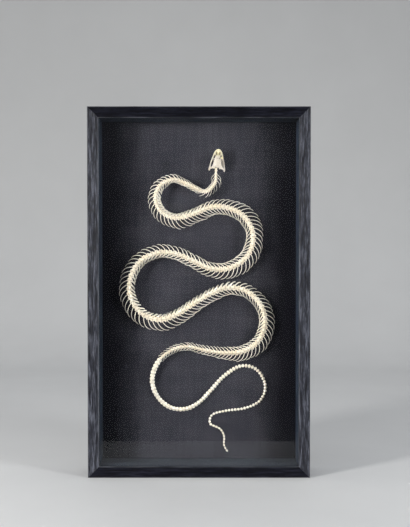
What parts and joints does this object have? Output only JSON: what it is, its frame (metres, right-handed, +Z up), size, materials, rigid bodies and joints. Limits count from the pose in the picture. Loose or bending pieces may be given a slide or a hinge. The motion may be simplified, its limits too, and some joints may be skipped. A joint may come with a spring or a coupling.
{
  "type": "mounted snake skeleton in a display case",
  "caption": "Articulated skeleton of a large slender snake, laid in open curves on dark cloth in a standing black wooden case with a glass front.",
  "frame": {"origin": "middle of the underside of the case, on the surface it stands on", "axes": "+Z up towards the snake's head, +X to the viewer's right, -Y out of the glass front"},
  "size_m": [0.43, 0.085, 0.7166],
  "materials": {
    "bone": "dry cleaned bone, matt to slightly waxy",
    "skull_bone": "dry cleaned bone, slightly yellow at the snout",
    "stained_wood": "open-grained wood stained black, satin",
    "liner_paint": "matt black paint on board",
    "clear_glass": "clear, polished",
    "dark_cloth": "woven charcoal linen",
    "hardboard": "brown hardboard, matt",
    "pin_steel": "black, matt",
    "tab_steel": "plated steel strip"
  },
  "bodies": {
    "root": {"cranium": "skull_bone", "maxilla_left": "skull_bone", "maxilla_right": "skull_bone", "ectopterygoid_left": "skull_bone", "ectopterygoid_right": "skull_bone", "supratemporal_left": "skull_bone", "supratemporal_right": "skull_bone", "quadrate_left": "skull_bone", "quadrate_right": "skull_bone", "pterygoid_left": "skull_bone", "pterygoid_right": "skull_bone", "mandible_left": "skull_bone", "mandible_right": "skull_bone", "neck_left": "bone", "neck_right": "bone", "trunk_1_left": "bone", "trunk_1_right": "bone", "trunk_2_left": "bone", "trunk_2_right": "bone", "trunk_3_left": "bone", "trunk_3_right": "bone", "trunk_4_left": "bone", "trunk_4_right": "bone", "trunk_5_left": "bone", "trunk_5_right": "bone", "trunk_6_left": "bone", "trunk_6_right": "bone", "trunk_7_left": "bone", "trunk_7_right": "bone", "tail_1": "bone", "tail_2": "bone", "tail_3": "bone", "pin_neck": "pin_steel", "pin_trunk_1": "pin_steel", "pin_trunk_2": "pin_steel", "pin_trunk_3": "pin_steel", "pin_trunk_4": "pin_steel", "pin_trunk_5": "pin_steel", "pin_trunk_6": "pin_steel", "pin_trunk_7": "pin_steel", "pin_skull": "pin_steel", "frame_top": "stained_wood", "frame_bottom": "stained_wood", "frame_left": "stained_wood", "frame_right": "stained_wood", "liner_top": "liner_paint", "liner_bottom": "liner_paint", "liner_left": "liner_paint", "liner_right": "liner_paint", "tab_left_lower": "tab_steel", "tab_left_upper": "tab_steel", "tab_right_lower": "tab_steel", "tab_right_upper": "tab_steel", "tab_top": "tab_steel", "tab_bottom": "tab_steel", "glass_pane": "clear_glass", "fabric_backing": "dark_cloth", "back_panel": "hardboard"}
  },
  "joints": []
}
